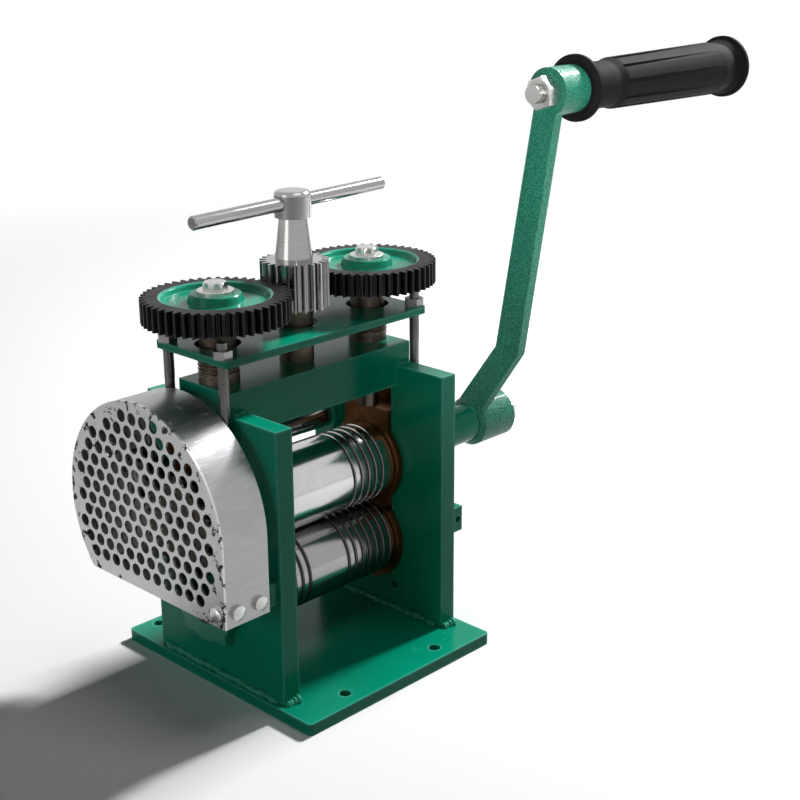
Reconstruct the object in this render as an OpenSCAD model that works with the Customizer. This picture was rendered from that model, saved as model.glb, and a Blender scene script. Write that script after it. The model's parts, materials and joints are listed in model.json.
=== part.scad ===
// Hand cranked jewellers rolling mill with two rollers and geared adjusting screws.
// The origin lies on the underside of the base plate, below the middle of both rollers.
// X runs along the rollers, Y from the feeding side to the back and Z upwards.

/* [Rollers] */
// Length of the rolling barrel
barrel_len = 76.2; // [66.2:0.5:84.2]
// Diameter of both rollers
roller_d = 34; // [30:0.5:36]
// Height of the lower roller's axis
lower_axis_z = 37.4; // [35:0.1:42]
// Gap between the rollers at rest
nip = 1.2; // [0.4:0.1:2]
// Diameter of the roller journals
journal_d = 18; // [16:0.5:20]
// Distance from one groove to the next
groove_pitch = 4.1; // [3.6:0.1:4.4]
// Width of a groove at the surface
groove_w = 2; // [1.4:0.1:3]
// Depth of a groove
groove_depth = 0.8; // [0.4:0.1:1.2]

/* [Frame] */
// Thickness of the base plate
base_t = 5; // [4:0.5:7]
// Base plate beyond the side plates at the front
base_front_margin = 18; // [15:1:26]
// Base plate beyond the side plates at the back
base_back_margin = 20; // [15:1:26]
// Diameter of the holes for the bench screws
bench_hole_d = 4.8; // [4:0.2:6]
// Distance between the front bench holes
front_hole_pitch = 52; // [44:1:70]
// Distance between the rear bench holes
rear_hole_pitch = 80; // [60:1:86]
// Thickness of a side plate
plate_t = 8; // [7:0.5:10]
// Side plate in front of the roller axes
plate_front = 42; // [38:1:48]
// Side plate behind the roller axes
plate_back = 35; // [34:1:42]
// Height of the top beam
beam_h = 18; // [15:1:22]
// Depth of the notches that the beam lies in
beam_sink = 9; // [6:1:12]

/* [Bearing blocks] */
// Radius of the inner flange
flange_r = 19.5; // [18.5:0.5:22]
// Thickness of the inner flange
flange_t = 2.2; // [1.8:0.1:3]
// Thickness of the outer flange
keeper_t = 4.5; // [4.2:0.1:5]
// Bronze beside the journal
block_wall = 4; // [3.5:0.1:5]

/* [Lifting gear] */
// Module of the screw wheels and their pinion
wheel_module = 1.15; // [1.12:0.01:1.2]
// Thickness of a screw wheel
wheel_h = 9.5; // [8:0.5:11]
// Diameter of the adjusting thread
screw_d = 16; // [14.8:0.2:16.4]
// Thickness of the lifting plate
lift_plate_t = 3; // [2.5:0.1:4]
// Depth of the lifting plate
lift_plate_depth = 43; // [39:1:48]
// Diameter of the four lifting studs
stud_d = 4; // [3:0.1:4.4]
// Length of the tee bar
tee_len = 105; // [90:1:120]
// Diameter of the tee bar
tee_d = 5.5; // [4.5:0.1:6]

/* [Gear cover] */
// Radius of the cover's round side
cover_r = 47; // [44:0.5:50]
// Depth of the cover
cover_depth = 21.8; // [20:0.2:26]
// Thickness of the cover's sheet
cover_t = 1; // [0.8:0.1:1.5]
// Diameter of the holes in the cover
vent_d = 5; // [3:0.1:5.4]
// Distance from one hole to the next
vent_pitch = 6.6; // [6:0.1:9]

/* [Crank] */
// Distance from the crank's axis to the grip's axis
crank_throw = 153; // [130:1:175]
// Angle that the arm leans forward
crank_lean = 9.5; // [0:0.5:30]
// Width of the arm at the hub
arm_foot_w = 14; // [12:0.5:16]
// Thickness of the arm
arm_t = 5; // [4:0.5:6]
// Outward step of the arm
arm_step = 21; // [14:0.5:24]
// Length of the crank's hub
hub_len = 23; // [20:1:28]
// Length of the sleeve between the mill and the hub
sleeve_len = 40; // [30:1:46]
// Length of the grip
grip_len = 122; // [100:1:135]
// Diameter of the grip at its outer end
grip_d = 25; // [23:0.5:28]

/* [Hidden] */

// Fineness of turned pieces and of small holes
round_fn = 96;
small_fn = 48;
// Overrun of every cut
over = 1;
// Play of shafts in their bores, of sliding faces and of pieces that pass each other
fit_play = 0.05;
slide_play = 0.1;
face_play = 0.2;
pass_play = 0.5;

// Rollers
upper_axis_z = lower_axis_z + roller_d + nip;
groove_steps = 6;
upper_groove_end = 6.4;
lower_groove_end = 2.4;
upper_grooves = 5;
lower_grooves = 7;
left_grooves = 7;
groove_arc_r = (groove_w * groove_w / 4 + groove_depth * groove_depth) / (2 * groove_depth);
groove_arc_a = asin(groove_w / 2 / groove_arc_r);

// Frame
plate_in = barrel_len / 2 + pass_play + flange_t + face_play;
plate_out = plate_in + plate_t;
slot_w = journal_d + 2 * block_wall;
block_floor = 6.4;
slot_floor = lower_axis_z - journal_d / 2 - block_floor;
block_rise = 24.9;
screw_reach = 11.5;
block_top = upper_axis_z + block_rise;
beam_z = block_top + screw_reach;
plate_top = beam_z + beam_sink;
beam_top = beam_z + beam_h;
beam_front_lap = 3;
beam_back_lap = 1;
beam_front = slot_w / 2 + beam_front_lap;
beam_back = slot_w / 2 + beam_back_lap;
base_side_margin = 3;
base_corner_r = 2;
base_half = plate_out + base_side_margin;
base_front = plate_front + base_front_margin;
base_back = plate_back + base_back_margin;
front_hole_inset = 8;
rear_hole_inset = 5;
oil_hole_d = 4;
oil_hole_y = -14;
oil_hole_z = 16;
oil_hole_depth = 4;

// Back shaft
shaft_d = 12;
shaft_y = 25.5;
shaft_rise = 15.4;
shaft_z = upper_axis_z + shaft_rise;
boss_r = 8;
boss_len = 4;
shaft_square = 8;
shaft_square_len = 10;
shaft_reach = 7;
pinion_seat_d = 8;

// Bearing blocks
keeper_r = 17;
lower_rise = 14.1;
upper_drop = 18.6;
relief_y = shaft_y - boss_r - 2 * pass_play;
keeper_x = plate_out + face_play;
keeper_out = keeper_x + keeper_t;

// Lifting gear
wheel_teeth = 48;
pinion_teeth = 22;
screw_x = wheel_module * (wheel_teeth + pinion_teeth) / 2;
beam_end = 0.75;
beam_half = max(plate_out, screw_x + screw_d / 2 + beam_end);
thread_below = 0.3;
thread_above = 4;
screw_pin_d = 9.3;
screw_neck_d = 14.5;
lift_rise = 12;
lift_plate_z = beam_top + lift_rise;
lift_plate_top = lift_plate_z + lift_plate_t;
stud_edge = 2.5;
stud_x = beam_half + pass_play + stud_d / 2;
lift_plate_half = stud_x + stud_edge;
stud_y = 16.5;
stud_foot = 6;
stud_tip = 6;
yoke_drop = 2;
yoke_h = 8;
yoke_y = 20.5;
yoke_z = block_top - yoke_drop;
yoke_neck_w = 20;
yoke_wall = 0.2;
yoke_out = stud_x + stud_d / 2 + yoke_wall;
block_out = max(keeper_out, yoke_out);
nut_af = 7;
nut_h = 3.2;
screw_hole_d = 18;
lift_corner_r = 2;
wheel_rise = 9.5;
wheel_z = lift_plate_top + wheel_rise;
wheel_pitch_r = wheel_module * wheel_teeth / 2;
rim_share = 0.79;
rim_r = wheel_pitch_r * rim_share;
web_r = 10;
web_t = 4;
web_drop = 2.4;
web_rise = 1;
collar_d = 21;
collar_h = 1.5;
post_d = 14;
post_foot = 10;
spindle_d = 8;
spindle_len = 12;
pinion_rise = 7;
pinion_h = 19;
pinion_z = lift_plate_top + pinion_rise;
pinion_top = pinion_z + pinion_h;
post_top = pinion_z - face_play;
cone_h = 17;
cone_foot = 1;
cone_r = 7.5;
cone_top_r = 5.5;
knob_r = 7.3;
knob_h = 10.4;
knob_round = 1.6;
tee_rise = 5.7;
tee_turn = 3.5;
tee_chamfer = 0.6;
bolt_head_af = 8.4;
bolt_head_h = 4.5;
bolt_d = 6;
bolt_len = 12;
washer_r = 7.2;
washer_h = 1.5;

// Gear teeth
tooth_play = 0.16;
clearance_share = 1.25;
head_share = 0.8;
head_top_share = 0.45;
wheel_pa = 20;
flank_steps = 4;
coupling_module = 2.43;
coupling_teeth = 14;
coupling_h = 8;
coupling_pa = 20;
coupling_add_share = 1.25;
coupling_ded_share = 1.35;
coupling_play = 0.3;
coupling_bore_d = 14;
drive_module = 1.5;
drive_teeth = 11;
reduction_teeth = 26;
drive_pa = 20;
drive_add_share = 1.12;
drive_ded_share = 1.32;
drive_play = 0.25;
drive_h = 8;
drive_gap = 1.5;
root_share = 0.2;

// Gear cover
cover_y = 5.6;
cover_rise = 5.4;
cover_drop = 30.5;
cover_z = upper_axis_z + cover_rise;
cover_x = block_out + pass_play;
cover_out = cover_x + cover_depth;
cover_front = cover_y - cover_r;
vent_margin = 4.6;
bracket_h = 9;
bracket_depth = 6;
bracket_z = cover_z - cover_drop + cover_t;
cover_screw_r = 2.9;
cover_screw_h = 2.2;
cover_screw_shank = 3;
cover_screw_len = 5;
cover_screw_inset = 5;
lug_len = 5;
lug_h = 11;
lug_depth = 6;
lug_z = 47;
lug_hole_d = 3;

// Crank
journal_end = block_out + face_play + pass_play;
sleeve_d = 17.5;
sleeve_bore_d = 12;
sleeve_x = journal_end + coupling_h + pass_play;
hub_x = sleeve_x + sleeve_len;
hub_out = hub_x + hub_len;
hub_d = 22.5;
hub_round = 2;
crank_washer_r = 9;
crank_washer_h = 1.6;
crank_nut_af = 12;
crank_nut_h = 5;
crank_tip = 2.5;
crank_tip_d = 8;
shaft_left_end = journal_end + drive_gap + drive_h;
arm_x = hub_x + arm_t / 2 + hub_round;
arm_out_x = arm_x + arm_step;
arm_bend_low = 9;
arm_bend_high = 31;
arm_top_w = 12;
eye_d = 21;
eye_len = 17;
eye_x = arm_out_x - arm_t / 2;
eye_out = eye_x + eye_len;
grip_x = eye_out + pass_play;
grip_out = grip_x + grip_len;
grip_bolt_d = 8;
grip_head_af = 13;
grip_head_h = 5.5;
grip_washer_r = 8;
grip_washer_h = 1.5;
grip_nut_h = 6.5;
grip_tip = 4;
grip_flange_r = 14.7;
grip_flange_t = 4;
grip_flange_round = 1.2;
grip_flange_foot = 1.5;
grip_neck_r = 10.4;
grip_pads = 10;
grip_pad_gap = 2.2;
grip_pad_depth = 1.1;
grip_from_share = 0.22;
grip_to_share = 0.86;
pads_x = grip_x + grip_len * grip_from_share;
pads_len = grip_len * (grip_to_share - grip_from_share);

// Draws a flat shape in the plane across the rollers and pulls it along X
module along_x(x, len) translate([x, 0, 0]) rotate([90, 0, 90]) linear_extrude(len) children();

// Turns a profile of radius and place around the X axis
module turned_x(z) translate([0, 0, z]) rotate([0, 90, 0]) rotate_extrude($fn = round_fn) children();

// Round bar along X
module bar_x(x, len, d, y, z, fn = round_fn)
    translate([x, y, z]) rotate([0, 90, 0]) cylinder(d = d, h = len, $fn = fn);

// Copies a left hand piece to the right or the left
module sided(side) { if (side < 0) mirror([1, 0, 0]) children(); else children(); }

// Hexagon that is measured across its flats
module hexagon(af) circle(d = af / cos(30), $fn = 6);

// Rectangle with round corners
module rounded_rect(w, d, r) {
    square([w - 2 * r, d], center = true);
    square([w, d - 2 * r], center = true);
    for (x = [-1, 1], y = [-1, 1]) translate([x * (w / 2 - r), y * (d / 2 - r)])
        circle(r, $fn = small_fn);
}

// Involute angle between the base circle and a radius, in degrees
function involute(r, base_r) = let (t = sqrt(max(r * r / (base_r * base_r) - 1, 0)))
    t * 180 / PI - atan(t);

// Half of the angle that a tooth takes up at a radius
function half_tooth(r, m, n, pa, play) = let (base_r = m * n / 2 * cos(pa))
    90 / n - play / (m * n) * 180 / PI + involute(m * n / 2, base_r)
    - involute(max(r, base_r), base_r);

// Outline of an involute gear whose first tooth points along the first axis
function gear_points(m, n, pa, add, ded, play) =
    let (tip_r = m * n / 2 + add, root_r = m * n / 2 - ded,
        foot_r = max(m * n / 2 * cos(pa), root_r + (tip_r - root_r) * root_share),
        radii = concat([root_r], [for (i = [0 : flank_steps])
            foot_r + (tip_r - foot_r) * i / flank_steps]))
    [for (tooth = [0 : n - 1], side = [-1, 1], i = [0 : flank_steps + 1])
        let (r = radii[side < 0 ? i : flank_steps + 1 - i],
            a = tooth * 360 / n + side * half_tooth(r, m, n, pa, play))
        [r * cos(a), r * sin(a)]];

// Points of one groove in a roller, as radius and place along the roller
function groove_points(x) = [for (i = [0 : groove_steps])
    let (a = groove_arc_a * (2 * i / groove_steps - 1))
    [roller_d / 2 + groove_arc_r * (1 - cos(a)) - groove_depth, x + groove_arc_r * sin(a)]];

// Surface of a roller from left to right with a group of grooves at each end
function barrel_points(left, right, end) = let (first = barrel_len / 2 - end) [
    [roller_d / 2, -barrel_len / 2],
    for (i = [0 : 1 : left - 1]) each groove_points(i * groove_pitch - first),
    for (i = [right - 1 : -1 : 0]) each groove_points(first - i * groove_pitch),
    [roller_d / 2, barrel_len / 2]];

module base_plate() color("seagreen") difference() {
    translate([0, (base_back - base_front) / 2, 0]) linear_extrude(base_t)
        rounded_rect(2 * base_half, base_front + base_back, base_corner_r);
    for (side = [-1, 1]) {
        translate([side * front_hole_pitch / 2, front_hole_inset - base_front, -over])
            cylinder(d = bench_hole_d, h = base_t + 2 * over, $fn = small_fn);
        translate([side * rear_hole_pitch / 2, base_back - rear_hole_inset, -over])
            cylinder(d = bench_hole_d, h = base_t + 2 * over, $fn = small_fn);
    }
}

// Side plate with its slot for the bearing blocks and its notch for the beam
module side_plate() difference() {
    along_x(plate_in, plate_t) difference() {
        translate([-plate_front, base_t])
            square([plate_front + plate_back, plate_top - base_t]);
        translate([-slot_w / 2, slot_floor]) square([slot_w, plate_top - slot_floor]);
        translate([-beam_front, beam_z]) square([beam_front + beam_back, beam_sink + over]);
    }
    bar_x(plate_in - over, plate_t + 2 * over, shaft_d + 2 * fit_play, shaft_y, shaft_z);
    bar_x(plate_in - over, oil_hole_depth + over, oil_hole_d, oil_hole_y, oil_hole_z, small_fn);
}

module left_side_plate() color("seagreen") sided(-1) side_plate();

module right_side_plate() color("seagreen") sided(1) side_plate();

module top_beam() color("seagreen") difference() {
    translate([-beam_half, -beam_front, beam_z])
        cube([2 * beam_half, beam_front + beam_back, beam_h]);
    for (side = [-1, 1]) translate([side * screw_x, 0, beam_z - over])
        cylinder(d = screw_d + 2 * fit_play, h = beam_h + 2 * over, $fn = round_fn);
    translate([0, 0, beam_top - post_foot])
        cylinder(d = post_d, h = post_foot + over, $fn = round_fn);
}

module centre_post() color("dimgray") difference() {
    translate([0, 0, beam_top - post_foot])
        cylinder(d = post_d, h = post_top - beam_top + post_foot, $fn = round_fn);
    translate([0, 0, pinion_z - spindle_len - face_play])
        cylinder(d = spindle_d + 2 * fit_play, h = spindle_len + over, $fn = round_fn);
}

// Round flange with a flat that keeps clear of the back shaft, cut to a band of heights
module block_flange(r, axis_z, low_z, high_z) intersection() {
    translate([0, axis_z]) circle(r, $fn = round_fn);
    translate([-r, low_z]) square([r + min(r, relief_y), high_z - low_z]);
}

// Bearing block with an inner flange, a web in the slot and an outer flange
module bearing_block(axis_z, low_z, high_z, web_low_z) difference() {
    union() {
        along_x(plate_in - face_play - flange_t, flange_t)
            block_flange(flange_r, axis_z, low_z, high_z);
        along_x(plate_in - face_play - flange_t, keeper_out - plate_in + face_play + flange_t)
            translate([slide_play - slot_w / 2, web_low_z])
                square([slot_w - 2 * slide_play, high_z - web_low_z]);
        along_x(keeper_x, keeper_t) block_flange(keeper_r, axis_z, low_z, high_z);
        children();
    }
    bar_x(plate_in - flange_t - over, keeper_out - plate_in + flange_t + 2 * over,
        journal_d + 2 * fit_play, 0, axis_z);
}

module lower_block(side) color("peru") sided(side)
    bearing_block(lower_axis_z, lower_axis_z - flange_r, lower_axis_z + lower_rise, slot_floor);

module lower_left_block() lower_block(-1);

module lower_right_block() lower_block(1);

// The upper block hangs from two studs in the yoke of its outer flange
module upper_block(side) color("peru") sided(side) difference() {
    bearing_block(upper_axis_z, upper_axis_z - upper_drop, block_top, upper_axis_z - upper_drop)
        along_x(keeper_x, yoke_out - keeper_x) {
            translate([-yoke_neck_w / 2, block_top - yoke_h]) square([yoke_neck_w, yoke_h]);
            translate([-yoke_y, yoke_z]) square([2 * yoke_y, yoke_h]);
        }
    for (y = [-stud_y, stud_y]) translate([stud_x, y, yoke_z + yoke_h - stud_foot])
        cylinder(d = stud_d, h = stud_foot + over, $fn = small_fn);
}

module upper_left_block() upper_block(-1);

module upper_right_block() upper_block(1);

// Short boss round the back shaft on the right side plate
module shaft_boss() color("seagreen") difference() {
    bar_x(plate_in - boss_len, boss_len, 2 * boss_r, shaft_y, shaft_z);
    bar_x(plate_in - boss_len - over, boss_len + 2 * over, shaft_d + 2 * fit_play,
        shaft_y, shaft_z);
}

module guard_lug() color("seagreen") difference() {
    translate([plate_out, -plate_front, lug_z]) cube([lug_len, lug_depth, lug_h]);
    translate([plate_out + lug_len / 2, -plate_front - over, lug_z + lug_h / 2])
        rotate([-90, 0, 0]) cylinder(d = lug_hole_d, h = lug_depth + 2 * over, $fn = small_fn);
}

// Bar that is welded to the left side plate and carries the cover's screws
module cover_bracket() color("seagreen") sided(-1) difference() {
    translate([plate_out, cover_front + cover_t, bracket_z])
        cube([cover_out - cover_t - plate_out, bracket_depth, bracket_h]);
    cover_screw_places() translate([0, 0, -cover_screw_len])
        cylinder(d = cover_screw_shank, h = cover_screw_len + over, $fn = small_fn);
}

// Outline of the cover, a circle with a square lower front corner and a flat floor
module cover_outline(inset) intersection() {
    union() {
        translate([cover_y, cover_z]) circle(cover_r - inset, $fn = round_fn);
        translate([cover_front + inset, cover_z - cover_drop])
            square([cover_r - inset, cover_drop]);
    }
    translate([cover_front, cover_z - cover_drop + inset]) square([2 * cover_r, 2 * cover_r]);
}

// Staggered grid of holes that stays inside the cover's margin
module vents() {
    row_h = vent_pitch * sin(60);
    rows = ceil(cover_r / row_h);
    cols = ceil(cover_r / vent_pitch) + 1;
    reach = cover_r - vent_margin;
    for (row = [-rows : rows], col = [-cols : cols]) {
        y = (col + (row % 2 == 0 ? 0 : 1 / 2)) * vent_pitch;
        z = row * row_h;
        inside = sqrt(y * y + z * z) < reach || (y < 0 && z < 0 && y > -reach);
        corner = y < -reach + bracket_depth && z < bracket_z + bracket_h - cover_z;
        if (inside && !corner && z > vent_margin - cover_drop)
            translate([cover_y + y, cover_z + z]) circle(d = vent_d, $fn = small_fn);
    }
}

module cover_screw_holes() cover_screw_places() translate([0, 0, -over])
    cylinder(d = cover_screw_shank, h = cover_t + 2 * over, $fn = small_fn);

// Strip that is bent round the cover's outline
module gear_cover() color("silver") sided(-1) difference() {
    along_x(cover_x, cover_depth - cover_t) difference() {
        cover_outline(0);
        cover_outline(cover_t);
    }
    cover_screw_holes();
}

// Perforated sheet that closes the outer side of the strip
module cover_grille() color("silver") sided(-1) difference() {
    along_x(cover_out - cover_t, cover_t) difference() {
        cover_outline(0);
        vents();
    }
    cover_screw_holes();
}

// Places of the cover's three screws, each with Z out of the bracket
module cover_screw_places() {
    z = bracket_z + bracket_h / 2;
    for (x = [cover_x + cover_screw_inset, cover_out - cover_t - cover_screw_inset])
        translate([x, cover_front + cover_t, z]) rotate([90, 0, 0]) children();
    translate([cover_out - cover_t, cover_front + cover_t + bracket_depth / 2, z])
        rotate([0, 90, 0]) children();
}

module cover_screws() color("gainsboro") sided(-1) cover_screw_places() {
    translate([0, 0, cover_t]) intersection() {
        cylinder(r = cover_screw_r, h = cover_screw_h, $fn = small_fn);
        translate([0, 0, cover_screw_h - 2 * cover_screw_r]) sphere(2 * cover_screw_r, $fn = small_fn);
    }
    translate([0, 0, -cover_screw_len])
        cylinder(d = cover_screw_shank, h = cover_screw_len + cover_t, $fn = small_fn);
}

module lifting_plate() color("seagreen") difference() {
    translate([0, 0, lift_plate_z]) linear_extrude(lift_plate_t)
        rounded_rect(2 * lift_plate_half, lift_plate_depth, lift_corner_r);
    for (x = [-screw_x, 0, screw_x]) translate([x, 0, lift_plate_z - over])
        cylinder(d = screw_hole_d, h = lift_plate_t + 2 * over, $fn = round_fn);
    stud_places() translate([0, 0, lift_plate_z - over])
        cylinder(d = stud_d, h = lift_plate_t + 2 * over, $fn = small_fn);
}

module stud_places() for (x = [-stud_x, stud_x], y = [-stud_y, stud_y])
    translate([x, y, 0]) children();

module lifting_studs() color("silver") stud_places()
    translate([0, 0, yoke_z + yoke_h - stud_foot])
        cylinder(d = stud_d, h = lift_plate_top + stud_tip - yoke_z - yoke_h + stud_foot,
            $fn = small_fn);

module stud_nuts() color("silver") stud_places() translate([0, 0, lift_plate_top])
    linear_extrude(nut_h) difference() {
        hexagon(nut_af);
        circle(d = stud_d, $fn = small_fn);
    }

// Adjusting screw with its pressure pin, thread and neck
module adjusting_screw(side) color("dimgray") translate([side * screw_x, 0, 0])
    difference() {
        rotate_extrude($fn = round_fn) polygon([
            [0, block_top + face_play],
            [screw_pin_d / 2, block_top + face_play],
            [screw_pin_d / 2, beam_z - thread_below],
            [screw_d / 2, beam_z - thread_below],
            [screw_d / 2, beam_top + thread_above],
            [screw_neck_d / 2, beam_top + thread_above + (screw_d - screw_neck_d) / 2],
            [screw_neck_d / 2, wheel_z],
            [0, wheel_z]]);
        translate([0, 0, wheel_z - bolt_len])
            cylinder(d = bolt_d, h = bolt_len + over, $fn = small_fn);
    }

module left_screw() adjusting_screw(-1);

module right_screw() adjusting_screw(1);

// Thin ring on the neck that carries the lifting plate upwards
module lift_collar(side) color("dimgray")
    translate([side * screw_x, 0, lift_plate_z - face_play - collar_h])
        difference() {
            cylinder(d = collar_d, h = collar_h, $fn = round_fn);
            translate([0, 0, -over])
                cylinder(d = screw_neck_d, h = collar_h + 2 * over, $fn = round_fn);
        }

module left_collar() lift_collar(-1);

module right_collar() lift_collar(1);

// Toothed rim, turned by half a tooth so that it meshes with the pinion between both wheels
module wheel_rim(side) color("black") translate([side * screw_x, 0, wheel_z])
    linear_extrude(wheel_h) difference() {
        rotate(180 / wheel_teeth) polygon(gear_points(wheel_module, wheel_teeth, wheel_pa,
            wheel_module, wheel_module * clearance_share, tooth_play));
        circle(rim_r, $fn = round_fn);
    }

module left_wheel_rim() wheel_rim(-1);

module right_wheel_rim() wheel_rim(1);

// Dished web with a boss in its middle
module wheel_web(side) color("seagreen") translate([side * screw_x, 0, wheel_z])
    rotate_extrude($fn = round_fn) polygon([
        [bolt_d / 2, 0], [web_r, 0],
        [web_r + web_rise, wheel_h - web_drop - web_t], [rim_r, wheel_h - web_drop - web_t],
        [rim_r, wheel_h], [rim_r - web_rise, wheel_h - web_rise / 2],
        [rim_r - 2 * web_rise, wheel_h - web_drop], [web_r + web_rise, wheel_h - web_drop],
        [web_r, wheel_h + web_rise / 2], [web_r - web_rise / 2, wheel_h + web_rise],
        [bolt_d / 2, wheel_h + web_rise]]);

module left_wheel_web() wheel_web(-1);

module right_wheel_web() wheel_web(1);

// Bolt and washer that hold a wheel on its screw
module wheel_bolt(side) color("silver")
    translate([side * screw_x, 0, wheel_z + wheel_h + web_rise]) {
        cylinder(r = washer_r, h = washer_h, $fn = small_fn);
        translate([0, 0, washer_h]) hex_head(bolt_head_af, bolt_head_h);
        translate([0, 0, -wheel_h - web_rise - bolt_len])
            cylinder(d = bolt_d, h = bolt_len + wheel_h + web_rise, $fn = small_fn);
    }

// Hexagon head with chamfered corners
module hex_head(af, h) intersection() {
    linear_extrude(h) hexagon(af);
    rotate_extrude($fn = small_fn) polygon([[0, 0], [af, 0], [af, h * head_share],
        [af * head_top_share, h], [0, h]]);
}

module left_wheel_bolt() wheel_bolt(-1);

module right_wheel_bolt() wheel_bolt(1);

module screw_pinion() color("silver") translate([0, 0, pinion_z]) linear_extrude(pinion_h)
    difference() {
        polygon(gear_points(wheel_module, pinion_teeth, wheel_pa, wheel_module,
            wheel_module * clearance_share, tooth_play));
        circle(d = spindle_d, $fn = round_fn);
    }

// Turned spindle with a cone and a knob that the tee bar goes through
module handle_spindle() color("silver") difference() {
    rotate_extrude($fn = round_fn) polygon([
        [0, pinion_z - spindle_len], [spindle_d / 2, pinion_z - spindle_len],
        [spindle_d / 2, pinion_top], [cone_r, pinion_top], [cone_r, pinion_top + cone_foot],
        [cone_top_r, pinion_top + cone_h], [knob_r, pinion_top + cone_h],
        [knob_r, pinion_top + cone_h + knob_h - knob_round],
        for (a = [30, 60, 90]) [knob_r - knob_round * (1 - cos(a)),
            pinion_top + cone_h + knob_h - knob_round * (1 - sin(a))],
        [0, pinion_top + cone_h + knob_h]]);
    tee_place() translate([0, 0, -knob_r - over])
        cylinder(d = tee_d, h = 2 * (knob_r + over), $fn = small_fn);
}

// Middle of the tee bar with Z along the bar
module tee_place() translate([0, 0, pinion_top + cone_h + tee_rise]) rotate([0, 0, tee_turn])
    rotate([0, 90, 0]) children();

module tee_bar() color("silver") tee_place() translate([0, 0, -tee_len / 2])
    rotate_extrude($fn = small_fn) polygon([
        [0, 0], [tee_d / 2 - tee_chamfer, 0], [tee_d / 2, tee_chamfer],
        [tee_d / 2, tee_len - tee_chamfer], [tee_d / 2 - tee_chamfer, tee_len], [0, tee_len]]);

// Upper roller with its gear seats and the shaft that carries the crank
module upper_roller() color("gainsboro") turned_x(upper_axis_z) polygon(concat(
    [[0, -shaft_left_end], [sleeve_bore_d / 2, -shaft_left_end], [sleeve_bore_d / 2, -journal_end],
        [journal_d / 2, -journal_end], [journal_d / 2, -barrel_len / 2]],
    barrel_points(0, upper_grooves, upper_groove_end),
    [[journal_d / 2, barrel_len / 2], [journal_d / 2, journal_end],
        [coupling_bore_d / 2, journal_end], [coupling_bore_d / 2, sleeve_x],
        [sleeve_bore_d / 2, sleeve_x], [sleeve_bore_d / 2, hub_out],
        [crank_tip_d / 2, hub_out],
        [crank_tip_d / 2, hub_out + crank_washer_h + crank_nut_h + crank_tip],
        [0, hub_out + crank_washer_h + crank_nut_h + crank_tip]]));

module lower_roller() color("gainsboro") turned_x(lower_axis_z) polygon(concat(
    [[0, -journal_end], [journal_d / 2, -journal_end], [journal_d / 2, -barrel_len / 2]],
    barrel_points(left_grooves, lower_grooves, lower_groove_end),
    [[journal_d / 2, barrel_len / 2], [journal_d / 2, journal_end],
        [coupling_bore_d / 2, journal_end], [coupling_bore_d / 2, sleeve_x], [0, sleeve_x]]));

// Coupling gear with long teeth that stay in mesh while the upper roller rises
module coupling_gear(axis_z, turn) color("dimgray") translate([0, 0, axis_z])
    along_x(journal_end, coupling_h) difference() {
        rotate(turn) polygon(gear_points(coupling_module, coupling_teeth, coupling_pa,
            coupling_module * coupling_add_share, coupling_module * coupling_ded_share,
            coupling_play));
        circle(d = coupling_bore_d, $fn = round_fn);
    }

module upper_coupling_gear() coupling_gear(upper_axis_z, -90);

module lower_coupling_gear() coupling_gear(lower_axis_z, 90 + 180 / coupling_teeth);

// Angle from the upper roller's axis to the back shaft
drive_angle = atan2(shaft_rise, shaft_y);

module reduction_gear() color("dimgray") translate([0, 0, upper_axis_z])
    along_x(-journal_end - drive_gap - drive_h, drive_h) difference() {
        rotate(drive_angle) polygon(gear_points(drive_module, reduction_teeth, drive_pa,
            drive_module * drive_add_share, drive_module * drive_ded_share, drive_play));
        circle(d = sleeve_bore_d, $fn = round_fn);
    }

module drive_pinion() color("dimgray") translate([0, shaft_y, shaft_z])
    along_x(-journal_end - drive_gap - drive_h, drive_h) difference() {
        rotate(drive_angle + 180 + 180 / drive_teeth) polygon(gear_points(drive_module,
            drive_teeth, drive_pa, drive_module * drive_add_share, drive_module * drive_ded_share,
            drive_play));
        circle(d = pinion_seat_d, $fn = round_fn);
    }

// Shaft behind the upper roller with a seat for its pinion and a square end
module back_shaft() color("gainsboro") {
    bar_x(-journal_end - drive_gap - drive_h, drive_gap + drive_h + over, pinion_seat_d,
        shaft_y, shaft_z);
    bar_x(-journal_end, journal_end + plate_out + shaft_reach, shaft_d, shaft_y, shaft_z);
    translate([plate_out + shaft_reach - over, shaft_y - shaft_square / 2,
        shaft_z - shaft_square / 2]) cube([shaft_square_len + over, shaft_square, shaft_square]);
}

module crank_sleeve() color("seagreen") difference() {
    bar_x(sleeve_x, sleeve_len, sleeve_d, 0, upper_axis_z);
    bar_x(sleeve_x - over, sleeve_len + 2 * over, sleeve_bore_d, 0, upper_axis_z);
}

module crank_hub() color("darkgreen") turned_x(upper_axis_z) polygon([
    [sleeve_bore_d / 2, hub_x], [hub_d / 2 - hub_round, hub_x], [hub_d / 2, hub_x + hub_round],
    [hub_d / 2, hub_out - hub_round / 4], [hub_d / 2 - hub_round / 4, hub_out],
    [sleeve_bore_d / 2, hub_out]]);

// Turns a piece about the crank's axis to the angle that the arm leans at
module leaning() translate([0, 0, upper_axis_z]) rotate([crank_lean, 0, 0]) children();

// Bent centre line of the arm, thickened to one side, as place along X and height
function arm_side(side) = [
    [arm_x + side * arm_t / 2, 0], [arm_x + side * arm_t / 2, arm_bend_low],
    [arm_out_x + side * arm_t / 2, arm_bend_high], [arm_out_x + side * arm_t / 2, crank_throw]];

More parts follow.
